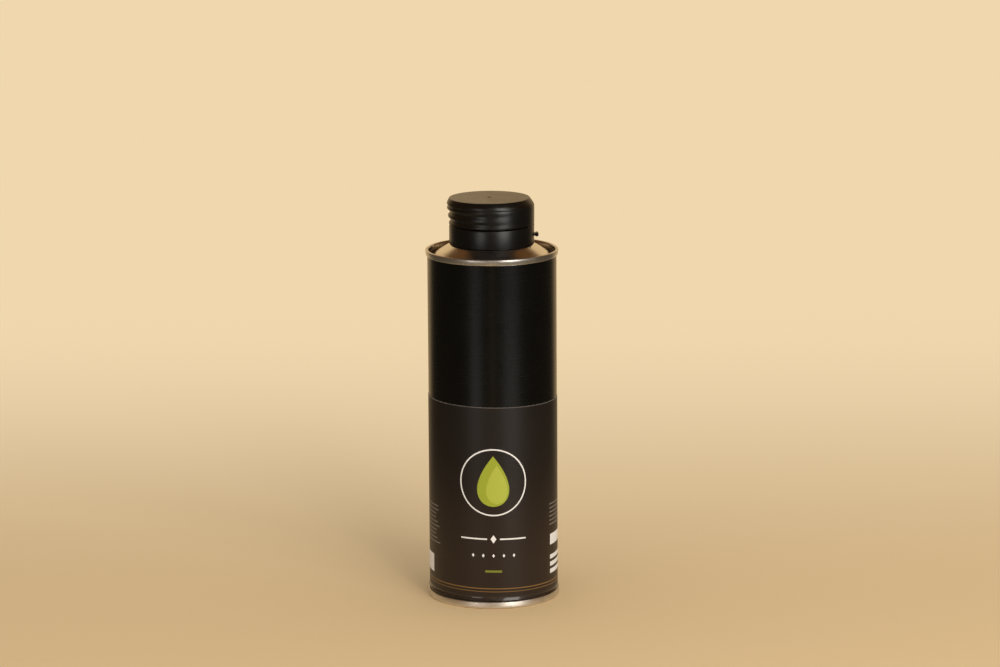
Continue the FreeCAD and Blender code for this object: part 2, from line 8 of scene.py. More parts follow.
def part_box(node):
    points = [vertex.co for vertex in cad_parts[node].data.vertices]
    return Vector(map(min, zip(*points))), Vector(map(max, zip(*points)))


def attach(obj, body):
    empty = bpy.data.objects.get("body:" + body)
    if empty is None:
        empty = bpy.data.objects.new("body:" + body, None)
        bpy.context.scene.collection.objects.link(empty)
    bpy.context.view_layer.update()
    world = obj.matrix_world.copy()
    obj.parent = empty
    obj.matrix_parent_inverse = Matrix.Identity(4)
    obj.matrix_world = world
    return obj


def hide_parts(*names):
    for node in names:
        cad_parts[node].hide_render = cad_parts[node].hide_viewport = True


# A slim black oil tin with bright seamed ends, a shouldered top, a wrap-round label and a hinged flip lid.
# Metres, +Z up, the origin under the middle of the foot. -Y is the front and +X is the hinge side.

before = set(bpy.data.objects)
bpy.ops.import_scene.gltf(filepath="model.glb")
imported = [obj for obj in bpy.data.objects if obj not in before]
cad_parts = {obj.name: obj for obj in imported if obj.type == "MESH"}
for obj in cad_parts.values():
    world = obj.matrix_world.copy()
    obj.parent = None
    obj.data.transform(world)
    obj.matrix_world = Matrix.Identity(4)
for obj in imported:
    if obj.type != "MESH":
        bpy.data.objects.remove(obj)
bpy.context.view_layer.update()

# Places that the parts in model.glb give
wall_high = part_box("can_body")[1]
cone_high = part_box("top_cone")[1]
label_low, label_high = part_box("wrap_label")
collar_low, collar_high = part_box("closure_collar")
spout_low, spout_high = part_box("pour_spout")
lid_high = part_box("flip_lid")[1]
seal_low, seal_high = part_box("lid_seal")
pin_low, pin_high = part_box("hinge_pin")
gasket_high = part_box("neck_gasket")[1]

# Tinplate and the double seams, as depths and radii of the middle of the sheet
PLATE = 0.0002
SEAM_ROOM = 0.0005
CAN_TOP = wall_high.z + SEAM_ROOM
SEAM_RADIUS = cone_high.x
TOP_SEAM_HEIGHT = 0.00245
FOOT_SEAM_HEIGHT = 0.00278
SEAM_ROUND = 0.00038
SEAM_BELLY = 0.0010
SEAM_BELLY_ROUND = 0.003
SEAM_LEAN = 0.00022
SKIN_RADIUS = SEAM_RADIUS - PLATE / 2
SEAM_STEP = 0.00024
BODY_HOOK_RADIUS = SKIN_RADIUS - SEAM_STEP - SEAM_LEAN / 2
COVER_HOOK_RADIUS = SKIN_RADIUS - 2 * SEAM_STEP
WALL_RADIUS = SKIN_RADIUS - 3 * SEAM_STEP
CHUCK_RADIUS = SKIN_RADIUS - 4 * SEAM_STEP
BODY_HOOK_ROOM = 0.0006
COVER_HOOK_DEPTH = 0.0012
FOLD_ROUND = 0.0002

# The bare stripe of the weld at the back of the body
WELD_HALF_WIDTH = 0.0007
WELD_SOFT = 0.00012

# Countersink, shoulder, cone, neck and curl, at the middle of the sheet
CONE_SLOPE = math.tan(math.radians(30))
SINK_DEPTH = 0.0055
SINK_WIDTH = 0.0020
SHOULDER_DROP = 0.00203
SHOULDER_ROUND = 0.0036
NECK_RADIUS = 0.0129
NECK_ROUND = 0.0009
CURL_ROUND = 0.00085
CURL_TOP = cone_high.z - PLATE / 2

# Where the countersink gets painted shade and a duller finish, below the top of the seam, and how high the
# duller foot reaches
SUNK_START = 0.0015
SUNK_DEPTH = 0.0077
SUNK_SOFT = 0.0005
FOOT_DULL_LOW = 0.00602
FOOT_DULL_HIGH = 0.0086

# Bottom end
FOOT_SINK = 0.0043
FOOT_SINK_WIDTH = 0.0012
FOOT_PANEL = 0.0031
FOOT_STEP = 0.0008
FOOT_STEP_RADIUS = 0.0170
FOOT_BEAD_RADIUS = 0.0105
FOOT_BEAD_WIDTH = 0.0008
FOOT_BEAD_DEPTH = 0.0003

# Label: paper wound a little crooked, with lapped ends and a lower edge that drops and flares
LABEL_PAPER = 0.0001
LABEL_RADIUS = -label_low.y
LABEL_LAP = math.radians(13)
LABEL_LIFT = math.radians(2.5)
LABEL_TILT = -0.015
LABEL_DROP = 0.0010
LABEL_GAP = 0.0004
LABEL_BOTTOM = label_low.z - LABEL_DROP
LABEL_HEIGHT = label_high.z - LABEL_BOTTOM
LABEL_FLARE = 0.00038
LABEL_FLARE_HEIGHT = 0.0014
LABEL_FLARE_STEPS = 5
LABEL_COLUMNS = 260
LABEL_ROWS = 24
CUT_EDGE_SHARE = 0.5

# Label print, from the middle of the front and from the label's lower edge
PRINT_SOFT = 0.00008
RING_LEVEL = 0.0490
RING_RADIUS = 0.0136
RING_LINE = 0.00055
DROP_BOTTOM = 0.0390
DROP_HEIGHT = 0.0210
DROP_HALF_WIDTH = 0.0066
DROP_SWELL = 2.6
SHINE_SIDE = 0.0015
SHINE_BOTTOM = 0.0402
SHINE_HEIGHT = 0.0160
SHINE_HALF_WIDTH = 0.0044
RULE_LEVEL = 0.0255
RULE_LINE = 0.0006
RULE_START = 0.0026
RULE_END = 0.0136
LOZENGE_HALVES = (0.0012, 0.0017)
DOT_LEVEL = 0.0186
DOT_HALVES = (0.00055, 0.0008)
DOT_PITCH = 0.0042
LOZENGE_SOFT_SHARE = 0.08
GOLD_LINES = [(0.0046, 0.0050), (0.0034, 0.00365)]
MARGIN_START = 0.00034
MARGIN_END = 0.00022
# Painted bounce light from the floor: below these heights the label's ground grows lighter and browner
BOUNCE_LOW = 0.015
BOUNCE_HIGH = 0.062
SHEEN_LOW = 0.0009
SHEEN_HIGH = 0.0016

# Bars, panels and ruled fields of the print: left, right, lower and upper side. Rag and turn give each
# rule its own end.
GREEN_BAR = (-0.0034, 0.0034, 0.0116, 0.0125)
LEFT_PANEL = (-0.0470, -0.0310, 0.0075, 0.0150)
RIGHT_PANEL = (0.0280, 0.0460, 0.0200, 0.0245)
STRIPE_LEVELS = (0.0080, 0.0110, 0.0140)
STRIPE_HEIGHT = 0.0018
RULED_FIELDS = [(-0.0500, -0.0255, 0.0200, 0.0370), (0.0275, 0.0480, 0.0280, 0.0382)]
RULED_PITCH = 0.0017
RULED_LINE = 0.00045
RULED_RAG = 0.0035
RULED_TURN = 2.399

# Collar
COLLAR_RADIUS = -collar_low.x
COLLAR_BORE = 0.0152
COLLAR_BOTTOM = collar_low.z
COLLAR_HEIGHT = 0.00779
COLLAR_TOP = COLLAR_BOTTOM + COLLAR_HEIGHT
COLLAR_SHOULDER = 0.0006
COLLAR_EDGE = 0.00015
DECK_BORE = 0.0110
DECK_TOP = collar_high.z
DECK_EDGE = 0.0003
BEAD_DROP = 0.0021
BEAD_REACH = 0.0010
BEAD_HEIGHT = 0.0011

# Pouring insert
SPOUT_BORE = 0.0046
SPOUT_WALL = 0.0011
LIP_FLARE = 0.0018
LIP_REACH = 0.0020
LIP_EDGE = 0.00018
WELL_FLOOR = 0.0009
WELL_DEPTH = 0.0022
FLANGE_THICKNESS = 0.0007
FLANGE_TOP = gasket_high.z + FLANGE_THICKNESS
FLANGE_RADIUS = -spout_low.x
SKIRT_RADIUS = 0.01265
SKIRT_BORE = 0.01175
MOULD_EDGE = 0.0002
DRAIN_RADIUS = 0.0012

# Lid
LID_GAP = 0.00025
LID_BOTTOM = COLLAR_TOP + LID_GAP
LID_TOP = lid_high.z
LID_WALL = 0.0015
LID_BORE = 0.01555
LID_ROOF = 0.0015
LID_CEILING = LID_TOP - LID_ROOF
LID_CORNER_DROP = 0.0033
BOSS_RADIUS = 0.0080
BOSS_LEVEL = seal_high.z
LID_EDGE_ROUND = 0.00010
LID_FOOT_ROUND = 0.00012
RIB_ROUND = 0.00022
BROW_ROUND = 0.00035
CROWN_ROUND = 0.00016
CROWN_SUPPORT = 0.00012
GATE_RADIUS = 0.0011
GATE_SLOPE = GATE_RADIUS / 3
GATE_DEPTH = 0.0002

# How fast the ribs, the brow above them and the crown change from the thumb side to the hinge side
RIB_FADE = 3.0
BROW_FADE = 2.0
CROWN_FADE = 1.0

# The lid's outside from its lower edge up: how far it stands out beyond the collar on the thumb side and on
# the hinge side, its height above the lower edge on both, how far the edge is rounded and how fast it fades
LID_ROWS = [
    (-0.00015, -0.00015, 0.00000, 0.00000, LID_EDGE_ROUND, RIB_FADE),
    (0.00003, 0.00003, 0.00030, 0.00030, LID_FOOT_ROUND, RIB_FADE),
    (0.00007, 0.00005, 0.00080, 0.00080, RIB_ROUND, RIB_FADE),
    (-0.00065, 0.00006, 0.00160, 0.00160, RIB_ROUND, RIB_FADE),
    (-0.00065, 0.00006, 0.00210, 0.00210, RIB_ROUND, RIB_FADE),
    (0.00033, 0.00007, 0.00310, 0.00310, RIB_ROUND, RIB_FADE),
    (0.00040, 0.00007, 0.00390, 0.00390, RIB_ROUND, RIB_FADE),
    (-0.00043, 0.00008, 0.00490, 0.00490, RIB_ROUND, RIB_FADE),
    (-0.00043, 0.00008, 0.00540, 0.00540, RIB_ROUND, RIB_FADE),
    (0.00075, 0.00009, 0.00640, 0.00640, RIB_ROUND, RIB_FADE),
    (0.00083, 0.00009, 0.00695, 0.00695, RIB_ROUND, RIB_FADE),
    (0.00034, 0.00002, 0.00755, 0.00740, RIB_ROUND, RIB_FADE),
    (0.00036, 0.00002, 0.00775, 0.00750, RIB_ROUND, RIB_FADE),
    (0.00089, 0.00010, 0.00840, 0.00775, BROW_ROUND, BROW_FADE),
    (0.00070, -0.00050, 0.00910, 0.00890, BROW_ROUND, CROWN_FADE),
    (-0.00007, -0.00180, 0.01070, 0.01070, CROWN_ROUND, CROWN_FADE),
]

# Hinge
HINGE = (pin_low + pin_high) / 2
BARREL_RADIUS = 0.00078
BARREL_LENGTH = pin_high.y - pin_low.y
BARREL_EDGE = 0.00012
PIN_BORE = 0.00038
TONGUE_WIDTH = 0.0015
TONGUE_GAP = 0.0002
RECESS_DEPTH = 0.00105
RECESS_FLOOR = COLLAR_RADIUS - RECESS_DEPTH
RECESS_DROP = 0.00135
WEB_HEIGHT = 0.0008

# The plug in the middle of the lid's seal
PLUG_RADIUS = 0.0032
PLUG_END_RADIUS = 0.0024
PLUG_DEPTH = 0.0008

# How finely the meshes are made
TURN_STEPS = 192
ARC_STEPS = 5
BEVEL_STEPS = 3
BARREL_STEPS = 40
MERGE_DISTANCE = 2e-7
SHARP_ANGLE = math.radians(32)
OVERRUN = 0.001


# Outlines and meshes


def rounded(corners, closed=True):
    """Round the corners of an outline, each given as (radius, height, rounding)."""
    points = []
    count = len(corners)
    for index, (across, up, rounding) in enumerate(corners):
        place = Vector((across, up))
        at_end = not closed and index in (0, count - 1)
        if not rounding or at_end:
            points.append(place)
            continue
        back = (Vector(corners[index - 1][:2]) - place).normalized()
        ahead = (Vector(corners[(index + 1) % count][:2]) - place).normalized()
        half = back.angle(ahead) / 2
        middle = place + (back + ahead).normalized() * rounding / math.sin(half)
        first = place + back * rounding / math.tan(half) - middle
        last = place + ahead * rounding / math.tan(half) - middle
        for step in range(ARC_STEPS + 1):
            points.append(middle + first.slerp(last, step / ARC_STEPS).normalized() * rounding)
    return points


def folded(corners):
    """Give a folded sheet of plate its thickness: an outline on both sides of its middle line."""
    line = rounded(corners, closed=False)
    left = []
    right = []
    for index, point in enumerate(line):
        along = line[min(index + 1, len(line) - 1)] - line[max(index - 1, 0)]
        off = Vector((-along.y, along.x)).normalized() * PLATE / 2
        left.append(point + off)
        right.append(point - off)
    return left + right[::-1]


def turned(outline):
    """Spin a closed outline round the tin's axis."""
    shape = bmesh.new()
    verts = [shape.verts.new((point.x, 0, point.y)) for point in outline]
    for first, last in zip(verts, verts[1:] + verts[:1]):
        if first.co.x > MERGE_DISTANCE or last.co.x > MERGE_DISTANCE:
            shape.edges.new((first, last))
    line = shape.verts[:] + shape.edges[:]
    bmesh.ops.spin(shape, geom=line, cent=(0, 0, 0), axis=(0, 0, 1), angle=math.tau, steps=TURN_STEPS,
                   use_merge=True)
    return cleaned(shape)


def cleaned(shape):
    """Merge doubles and turn all faces outwards."""
    bmesh.ops.remove_doubles(shape, verts=shape.verts[:], dist=MERGE_DISTANCE)
    bmesh.ops.recalc_face_normals(shape, faces=shape.faces[:])
    return shape


def softened(shape, edges, width):
    """Round some edges of a shape."""
    bmesh.ops.bevel(shape, geom=edges, offset=width, offset_type="OFFSET", affect="EDGES",
                    segments=BEVEL_STEPS, profile=0.5, material=-1, clamp_overlap=True)
    return shape


def block(low, high, edge=0.0):
    """A box between two corners, with its edges rounded."""
    shape = bmesh.new()
    low = Vector(low)
    high = Vector(high)
    place = Matrix.Translation((low + high) / 2) @ Matrix.Diagonal((*(high - low), 1))
    bmesh.ops.create_cube(shape, size=1, matrix=place)
    if edge:
        softened(shape, shape.edges[:], edge)
    return shape


def rod(middle, radius, length, edge=0.0):
    """A round rod along Y, with its end edges rounded."""
    shape = bmesh.new()
    place = Matrix.Translation(middle) @ Matrix.Rotation(math.pi / 2, 4, "X")
    bmesh.ops.create_cone(shape, cap_ends=True, cap_tris=False, segments=BARREL_STEPS, radius1=radius,
                          radius2=radius, depth=length, matrix=place)
    if edge:
        ends = [(side, *side.verts) for side in shape.edges]
        rims = [side for side, first, last in ends if abs(first.co.y - last.co.y) < MERGE_DISTANCE]
        softened(shape, rims, edge)
    return shape


def carved(shape, tool, operation):
    """Join a closed shape to another, or cut it away."""
    pair = []
    for name, part in (("carve_base", shape), ("carve_tool", tool)):
        mesh = bpy.data.meshes.new(name)
        part.to_mesh(mesh)
        part.free()
        pair.append(bpy.data.objects.new(name, mesh))
        bpy.context.scene.collection.objects.link(pair[-1])
    base, cutter = pair
    step = base.modifiers.new("carve", "BOOLEAN")
    step.object = cutter
    step.operation = operation
    step.solver = "EXACT"
    result = bmesh.new()
    result.from_object(base, bpy.context.evaluated_depsgraph_get())
    for done in pair:
        bpy.data.objects.remove(done)
    bmesh.ops.remove_doubles(result, verts=result.verts[:], dist=MERGE_DISTANCE)
    return result


def shown(shape, name, finishes, body, nodes):
    """Make a shape a piece that rides on a body and stands for its nodes."""
    for face in shape.faces:
        face.smooth = True
    for edge in shape.edges:
        edge.smooth = len(edge.link_faces) == 2 and edge.calc_face_angle(0.0) < SHARP_ANGLE
    mesh = bpy.data.meshes.new(name)
    shape.to_mesh(mesh)
    shape.free()
    for finish in finishes:
        mesh.materials.append(finish)
    piece = bpy.data.objects.new(name, mesh)
    bpy.context.scene.collection.objects.link(piece)
    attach(piece, body)
    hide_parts(*nodes)
    return piece


# Finishes


class Value:
    """A shader socket that plain sums work on."""

    def __init__(self, finish, socket):
        self.finish = finish
        self.socket = socket

    def maths(self, operation, *others):
        """Add a Math node that starts from this value."""
        sockets = dict(enumerate((self, *others)))
        return self.finish.node("ShaderNodeMath", {"operation": operation}, sockets)

    def after(self, operation, other):
        """Add a Math node in which a number comes before this value."""
        return self.finish.node("ShaderNodeMath", {"operation": operation}, {0: other, 1: self})

    def __add__(self, other):
        return self.maths("ADD", other)

    def __radd__(self, other):
        return self.after("ADD", other)

    def __sub__(self, other):
        return self.maths("SUBTRACT", other)

    def __rsub__(self, other):
        return self.after("SUBTRACT", other)

    def __mul__(self, other):
        return self.maths("MULTIPLY", other)

    def __rmul__(self, other):
        return self.after("MULTIPLY", other)

    def __truediv__(self, other):
        return self.maths("DIVIDE", other)

    def __abs__(self):
        return self.maths("ABSOLUTE")

    def least(self, other):
        return self.maths("MINIMUM", other)

    def most(self, other):
        return self.maths("MAXIMUM", other)

    def root(self):
        return self.maths("SQRT")


class Finish:
    """A material, or the world, and the nodes that give it its look."""

    def __init__(self, name, kind=bpy.data.materials):
        self.material = kind.new(name)
        self.material.use_nodes = True
        self.tree = self.material.node_tree
        self.tree.nodes.clear()

    def node(self, kind, settings=None, sockets=None, output=0):
        """Add a node, set it up, feed its sockets and give one of its outputs."""
        added = self.tree.nodes.new(kind)
        for name, setting in (settings or {}).items():
            setattr(added, name, setting)
        for name, value in (sockets or {}).items():
            if isinstance(value, Value):
                self.tree.links.new(value.socket, added.inputs[name])
            else:
                added.inputs[name].default_value = value
        return Value(self, added.outputs[output]) if added.outputs else None

    def place(self):
        """Where a point lies, in metres."""
        return self.node("ShaderNodeTexCoord", output="Object")

    def split(self, vector):
        """The three parts of a vector."""
        return [self.node("ShaderNodeSeparateXYZ", sockets={0: vector}, output=axis) for axis in range(3)]

    def joined(self, across, along, up):
        """A vector from three values."""
        return self.node("ShaderNodeCombineXYZ", sockets={0: across, 1: along, 2: up})

    def noise(self, vector, size, detail=2.0, roughness=0.5):
        """Cloudy noise with blotches of about a given size, from 0 to 1."""
        sockets = {"Vector": vector, "Scale": 1 / size, "Detail": detail, "Roughness": roughness}
        return self.node("ShaderNodeTexNoise", {"noise_dimensions": "3D"}, sockets)

    def rise(self, value, low, high):
        """A soft step from 0 at low to 1 at high."""
        sockets = {"Value": value, "From Min": low, "From Max": high}
        return self.node("ShaderNodeMapRange", {"interpolation_type": "SMOOTHSTEP"}, sockets)

    def band(self, value, low, high, soft):
        """1 between low and high, with soft sides."""
        return self.rise(value, low - soft, low + soft) * (1 - self.rise(value, high - soft, high + soft))

    def mix(self, share, first, second):
        """One colour blended into another."""
        return self.node("ShaderNodeMix", {"data_type": "RGBA"}, {0: share, 6: first, 7: second}, output=2)

    def bump(self, height, depth):
        """A normal that follows a height."""
        sockets = {"Height": height, "Distance": depth}
        return self.node("ShaderNodeBump", sockets=sockets, output="Normal")

    def rays(self):
        """Two masks: rays from the camera, and rays that a gloss or a clear piece sends on."""
        camera, gloss, through = [
            self.node("ShaderNodeLightPath", output="Is %s Ray" % kind)
            for kind in ("Camera", "Glossy", "Transmission")
        ]
        return camera, gloss.most(through)

    def surface(self, sockets):
        """End in one surface shader and give the material."""
        shader = self.node("ShaderNodeBsdfPrincipled", sockets=sockets)
        self.node("ShaderNodeOutputMaterial", sockets={"Surface": shader})
        return self.material


def tint(red, green, blue):
    """A colour as a shader takes it."""
    return (red, green, blue, 1.0)


def lacquer_finish():
    """Black stoving lacquer on tinplate: fine orange peel, faint rub marks and the weld's bare stripe."""
    coat = Finish("black_lacquer_finish")
    place = coat.place()
    across, along, up = coat.split(place)
    peel = coat.noise(place, size=0.0009, detail=1.0)
    cloud = coat.noise(place, size=0.011, detail=3.0)
    rub = coat.noise(coat.joined(across, along, up * 26.0), size=0.007, detail=4.0, roughness=0.65)
    rubbed = coat.rise(rub, 0.60, 0.74)
    behind = coat.rise(along, 0.0, WALL_RADIUS / 2)
    weld = coat.band(across, -WELD_HALF_WIDTH, WELD_HALF_WIDTH, WELD_SOFT) * behind
    weld_grain = coat.noise(coat.joined(across * 2.0, along, up * 9.0), size=0.0022, detail=3.0)
    dark = coat.mix(cloud, tint(0.0011, 0.0009, 0.0007), tint(0.0019, 0.0016, 0.0013))
    worn = coat.mix(rubbed * 0.30, dark, tint(0.012, 0.010, 0.008))
    color = coat.mix(weld * (0.45 + 0.4 * weld_grain), worn, tint(0.060, 0.052, 0.044))
    rough = 0.24 + 0.06 * cloud + 0.08 * rubbed + 0.16 * weld
    height = peel + weld * (0.6 + 0.5 * weld_grain)
    return coat.surface({
        "Base Color": color,
        "Roughness": rough,
        "Specular IOR Level": 0.38,
        "Normal": coat.bump(height, depth=0.0000035),
    })


def tinplate_finish():
    """Bright tinplate: rolled and pressed rings, a faint bloom and darker tarnish in patches."""
    plate = Finish("tinplate_finish")
    place = plate.place()
    across, along, up = plate.split(place)
    reach = (across * across + along * along).root()
    ring = plate.noise(plate.joined(reach * 30.0, up * 30.0, 0.0), size=0.0060, detail=4.0, roughness=0.7)
    fine = plate.noise(plate.joined(reach * 80.0, up * 80.0, across * 1.5), size=0.0120, detail=3.0)
    bloom = plate.noise(place, size=0.0050, detail=4.0, roughness=0.6)
    speck = plate.noise(place, size=0.0006, detail=2.0)
    stain = plate.rise(bloom, 0.50, 0.72)
    bright = plate.mix(ring, tint(0.68, 0.645, 0.59), tint(0.78, 0.745, 0.69))
    tarnished = plate.mix(stain * 0.40, bright, tint(0.52, 0.46, 0.39))
    satin = plate.rise(reach, CHUCK_RADIUS - PLATE, CHUCK_RADIUS + PLATE)
    # Painted shade: the countersink below the seam's top is tinted dark brown, and it is also made duller
    sink_shade = plate.band(reach, CHUCK_RADIUS - SINK_WIDTH, CHUCK_RADIUS, PLATE)
    sink_shade = sink_shade * plate.band(up, CAN_TOP - SUNK_DEPTH, CAN_TOP - SUNK_START, SUNK_SOFT)
    color = plate.mix(sink_shade * 0.7, tarnished, tint(0.36, 0.265, 0.140))
    foot = 1 - plate.rise(up, FOOT_DULL_LOW, FOOT_DULL_HIGH)
    dull = sink_shade.most(satin * (0.75 + 0.35 * foot))
    rough = 0.10 + 0.09 * ring + 0.09 * stain + 0.05 * speck + dull * 0.20
    return plate.surface({
        "Base Color": color,
        "Metallic": 1.0,
        "Roughness": rough,
        "Normal": plate.bump((0.7 * ring + 0.5 * fine) * (1 - 0.8 * satin), depth=0.0000025),
    })


def label_finish():
    """Printed label: a green drop in a thin ring, plain rules and bare panels on a dark satin ground."""
    printed = Finish("label_print_finish")
    sheet = printed.node("ShaderNodeUVMap", {"uv_map": "label_map"})
    along, up = [part * LABEL_HEIGHT for part in printed.split(sheet)[:2]]
    place = printed.place()
    grain = printed.noise(place, size=0.00035, detail=3.0)
    cloud = printed.noise(place, size=0.014, detail=3.0)

    def bar(left, right, low, high):
        """A plain printed rectangle."""
        return printed.band(along, left, right, PRINT_SOFT) * printed.band(up, low, high, PRINT_SOFT)

    def drop(middle, low, height, half_width):
        """An oil drop that stands on its round end."""
        share = ((up - low) / height).most(0.0).least(1.0)
        width = share.root() * (1 - share) * (DROP_SWELL * half_width)
        return printed.rise(width - abs(along - middle), 0.0, 2 * PRINT_SOFT)

    def ring(level, radius, line):
        """A thin circle."""
        rise = up - level
        reach = (along * along + rise * rise).root()
        return 1 - printed.rise(abs(reach - radius), line / 2 - PRINT_SOFT, line / 2 + PRINT_SOFT)

    def lozenge(middle, level, half_width, half_height):
        """A square that stands on its corner."""
        reach = abs(along - middle) / half_width + abs(up - level) / half_height
        return 1 - printed.rise(reach, 1 - LOZENGE_SOFT_SHARE, 1 + LOZENGE_SOFT_SHARE)

    def ruled(left, right, low, high):
        """Plain rules one above the other, each ending a little differently."""
        row = ((up - low) / RULED_PITCH).maths("FLOOR")
        level = up - low - row * RULED_PITCH
        end = right - RULED_RAG * abs((row * RULED_TURN).maths("SINE"))
        inside = printed.rise(along, left - PRINT_SOFT, left + PRINT_SOFT)
        inside = inside * printed.rise(end - along, -PRINT_SOFT, PRINT_SOFT)
        line = printed.band(level, RULED_PITCH / 2 - RULED_LINE, RULED_PITCH / 2, PRINT_SOFT)
        return inside * line * printed.band(up, low, high, PRINT_SOFT)

    def together(masks):
        """Several masks as one."""
        whole = masks[0]
        for mask in masks[1:]:
            whole = whole.most(mask)
        return whole

    rule = (RULE_LEVEL - RULE_LINE / 2, RULE_LEVEL + RULE_LINE / 2)
    marks = [ring(RING_LEVEL, RING_RADIUS, RING_LINE), lozenge(0.0, RULE_LEVEL, *LOZENGE_HALVES)]
    marks += [bar(-RULE_END, -RULE_START, *rule), bar(RULE_START, RULE_END, *rule)]
    marks += [lozenge(step * DOT_PITCH, DOT_LEVEL, *DOT_HALVES) for step in (-2, -1, 0, 1, 2)]
    marks += [bar(*LEFT_PANEL), bar(*RIGHT_PANEL)]
    marks += [bar(*RIGHT_PANEL[:2], low, low + STRIPE_HEIGHT) for low in STRIPE_LEVELS]
    white = together(marks)
    grey = together([ruled(*field) for field in RULED_FIELDS])
    gold = together([printed.band(up, *line, PRINT_SOFT) for line in GOLD_LINES])
    green = drop(0.0, DROP_BOTTOM, DROP_HEIGHT, DROP_HALF_WIDTH)
    shine = drop(SHINE_SIDE, SHINE_BOTTOM, SHINE_HEIGHT, SHINE_HALF_WIDTH)
    margin = printed.rise(up, LABEL_HEIGHT - MARGIN_START, LABEL_HEIGHT - MARGIN_END)
    floor_bounce = 1 - printed.rise(up, BOUNCE_LOW, BOUNCE_HIGH)
    sheen = 1 - printed.rise(up, SHEEN_LOW, SHEEN_HIGH)

    ground = printed.mix(cloud, tint(0.0070, 0.0046, 0.0035), tint(0.0100, 0.0067, 0.0051))
    # Painted bounce light from the floor: the ground's lower part is lighter and browner
    ground = printed.mix(floor_bounce, ground, tint(0.0215, 0.0112, 0.0065))
    speckled = printed.mix(grain * 0.45, ground, tint(0.015, 0.011, 0.0085))
    color = printed.mix(grey * 0.55, speckled, tint(0.30, 0.27, 0.23))
    color = printed.mix(gold, color, tint(0.20, 0.105, 0.028))
    leafy = printed.mix(shine * 0.8, tint(0.29, 0.33, 0.022), tint(0.40, 0.43, 0.055))
    color = printed.mix(green, color, leafy)
    color = printed.mix(bar(*GREEN_BAR), color, tint(0.17, 0.19, 0.02))
    color = printed.mix(margin, color, tint(0.080, 0.064, 0.052))
    color = printed.mix(white * (0.90 + 0.08 * grain), color, tint(0.80, 0.77, 0.73))
    return printed.surface({
        "Base Color": color,
        "Roughness": 0.33 + 0.10 * grain + 0.06 * cloud,
        "Specular IOR Level": 0.35,
        "Coat Weight": sheen,
        "Coat Roughness": 0.12,
        "Normal": printed.bump(grain, depth=0.000004),
    })


def paper_finish():
    """The cut edge of the label."""
    paper = Finish("label_paper_finish")
    place = paper.place()
    fibre = paper.noise(place, size=0.0003, detail=4.0)
    return paper.surface({
        "Base Color": paper.mix(fibre, tint(0.52, 0.47, 0.41), tint(0.74, 0.70, 0.64)),
        "Roughness": 0.80 + 0.10 * fibre,
        "Normal": paper.bump(fibre, depth=0.00002),
    })


def black_plastic_finish():
    """Black moulded closure: satin spark grain, faint flow marks and paler rubbing."""
    plastic = Finish("black_plastic_finish")
    place = plastic.place()
    across, along, up = plastic.split(place)
    grain = plastic.noise(place, size=0.00028, detail=2.0)
    flow = plastic.noise(plastic.joined(across, along, up * 4.0), size=0.006, detail=3.0)
    rub = plastic.noise(place, size=0.0016, detail=4.0, roughness=0.7)
    rubbed = plastic.rise(rub, 0.58, 0.76)
    base = plastic.mix(flow, tint(0.0011, 0.0008, 0.0006), tint(0.0019, 0.0016, 0.0012))
    worn = plastic.mix(rubbed * 0.25, base, tint(0.011, 0.010, 0.008))
    strokes = plastic.joined(across + 0.6 * along, along * 2.5, 0.0)
    scuff = plastic.noise(strokes, size=0.009, detail=4.0, roughness=0.5)
    crown = plastic.rise(up, LID_TOP - CROWN_ROUND, LID_TOP - CROWN_ROUND / 3)
    # Pale scuffs on the crown, and painted light that makes the crown lighter towards its left side
    dust_and_painted_light = crown * plastic.rise(scuff - across * 12.0, 0.25, 0.80)
    color = plastic.mix(dust_and_painted_light, worn, tint(0.085, 0.070, 0.049))
    return plastic.surface({
        "Base Color": color,
        "Roughness": 0.30 + 0.06 * flow + 0.08 * rubbed,
        "Specular IOR Level": 0.58,
        "Normal": plastic.bump(grain + 0.4 * rubbed, depth=0.000006),
    })


def milky_plastic_finish(name, pale, deep):
    """Natural polyethylene: waxy, a little cloudy, with faint flow lines."""
    plastic = Finish(name)
    place = plastic.place()
    cloud = plastic.noise(place, size=0.0045, detail=3.0)
    grain = plastic.noise(place, size=0.0004, detail=2.0)
    return plastic.surface({
        "Base Color": plastic.mix(cloud, pale, deep),
        "Roughness": 0.36 + 0.12 * grain,
        "Subsurface Weight": 0.15,
        "Subsurface Scale": 0.0015,
        "Normal": plastic.bump(grain + 0.6 * cloud, depth=0.000005),
    })


def soft_ring_finish(name, pale, deep):
    """A dull soft ring with pores."""
    ring = Finish(name)
    place = ring.place()
    cells = ring.node("ShaderNodeTexVoronoi", {"feature": "F1"}, {"Vector": place, "Scale": 1 / 0.0004})
    cloud = ring.noise(place, size=0.003, detail=3.0)
    return ring.surface({
        "Base Color": ring.mix(0.5 * cells + 0.5 * cloud, pale, deep),
        "Roughness": 0.72 + 0.15 * cloud,
        "Normal": ring.bump(cells, depth=0.00003),
    })


def pin_finish():
    """Blackened wire, with drawing lines along the pin."""
    wire = Finish("pin_steel_finish")
    across, along, up = wire.split(wire.place())
    lines = wire.noise(wire.joined(across * 40.0, along * 2.0, up * 40.0), size=0.004, detail=3.0)
    return wire.surface({
        "Base Color": wire.mix(lines, tint(0.030, 0.028, 0.026), tint(0.060, 0.057, 0.053)),
        "Metallic": 1.0,
        "Roughness": 0.26 + 0.18 * lines,
        "Normal": wire.bump(lines, depth=0.000004),
    })


# Pieces of the tin


def seam_line(height, level):
    """The end's side of a double seam, from the end of its hook over the seam's top into the chuck wall."""
    return [
        (COVER_HOOK_RADIUS, level(COVER_HOOK_DEPTH), 0),
        (COVER_HOOK_RADIUS, level(height - PLATE / 2), FOLD_ROUND),
        (SKIN_RADIUS - SEAM_LEAN, level(height - PLATE / 2), FOLD_ROUND),
        (SKIN_RADIUS, level(SEAM_BELLY), SEAM_BELLY_ROUND),
        (SKIN_RADIUS, level(PLATE / 2), SEAM_ROUND),
        (CHUCK_RADIUS, level(PLATE / 2), SEAM_ROUND),
    ]


